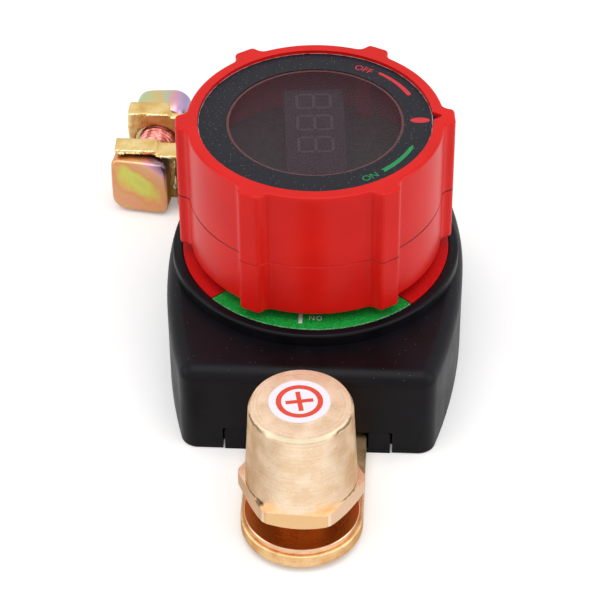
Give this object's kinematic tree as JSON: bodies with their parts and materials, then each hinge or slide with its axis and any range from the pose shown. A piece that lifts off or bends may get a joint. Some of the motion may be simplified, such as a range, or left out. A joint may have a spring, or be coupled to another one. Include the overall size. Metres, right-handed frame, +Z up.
{
  "type": "battery disconnect switch",
  "caption": "Rotary battery disconnect switch: knob with a voltage display on a black housing, tapered terminal post in front, battery post clamp behind.",
  "frame": {"origin": "on the knob's turning axis, in the plane that the housing rests on", "axes": "+Z up along the knob's axis, -Y towards the terminal post, +Y towards the battery clamp"},
  "size_m": [0.0689, 0.122, 0.0485],
  "materials": {
    "black_nylon": "satin, moulded black nylon",
    "printed_label": "satin printed film, red and green",
    "seal_rubber": "matt",
    "turned_brass": "turned, satin to bright",
    "cast_brass": "sand cast, tumbled",
    "yellow_zinc": "yellow passivated zinc",
    "copper": "plain copper",
    "steel": "plain",
    "sticker_print": "white with a red ring and plus",
    "red_abs": "satin moulded red",
    "black_film": "satin printed film",
    "tinted_acrylic": "clear, tinted smoke red",
    "green_board": "dark solder resist",
    "display_black": "black moulded display"
  },
  "bodies": {
    "base": {"housing": "black_nylon", "base_cover": "black_nylon", "cover_screws": "steel", "label_ring": "printed_label", "shaft_seal": "seal_rubber", "inner_feed_ring": "turned_brass", "outer_feed_ring": "turned_brass", "front_busbar": "turned_brass", "terminal_stud": "turned_brass", "post_washer": "turned_brass", "battery_clamp": "cast_brass", "clamp_bolt": "yellow_zinc", "clamp_nut": "yellow_zinc"},
    "post": {"terminal_post": "turned_brass", "post_sticker": "sticker_print"},
    "knob": {"knob_lower": "red_abs", "knob_upper": "red_abs", "face_film": "black_film", "window_lens": "tinted_acrylic", "circuit_board": "green_board", "display_module": "display_black", "inner_feed_pin": "turned_brass", "outer_feed_pin": "turned_brass", "rotor": "black_nylon", "contact_bridge": "copper", "pressure_spring": "steel", "detent_balls": "steel", "detent_springs": "steel", "centre_washer": "steel", "centre_screw": "steel"}
  },
  "joints": [
    {"name": "knob_turn", "type": "hinge", "parent": "base", "child": "knob", "pos_m": [0, 0, 0], "axis": [0, 0, 1], "range_deg": [-94.5, 0]},
    {"name": "post_down", "type": "slide", "parent": "base", "child": "post", "axis": [0, 0, 1], "range_m": [-0.0045, 0]}
  ]
}
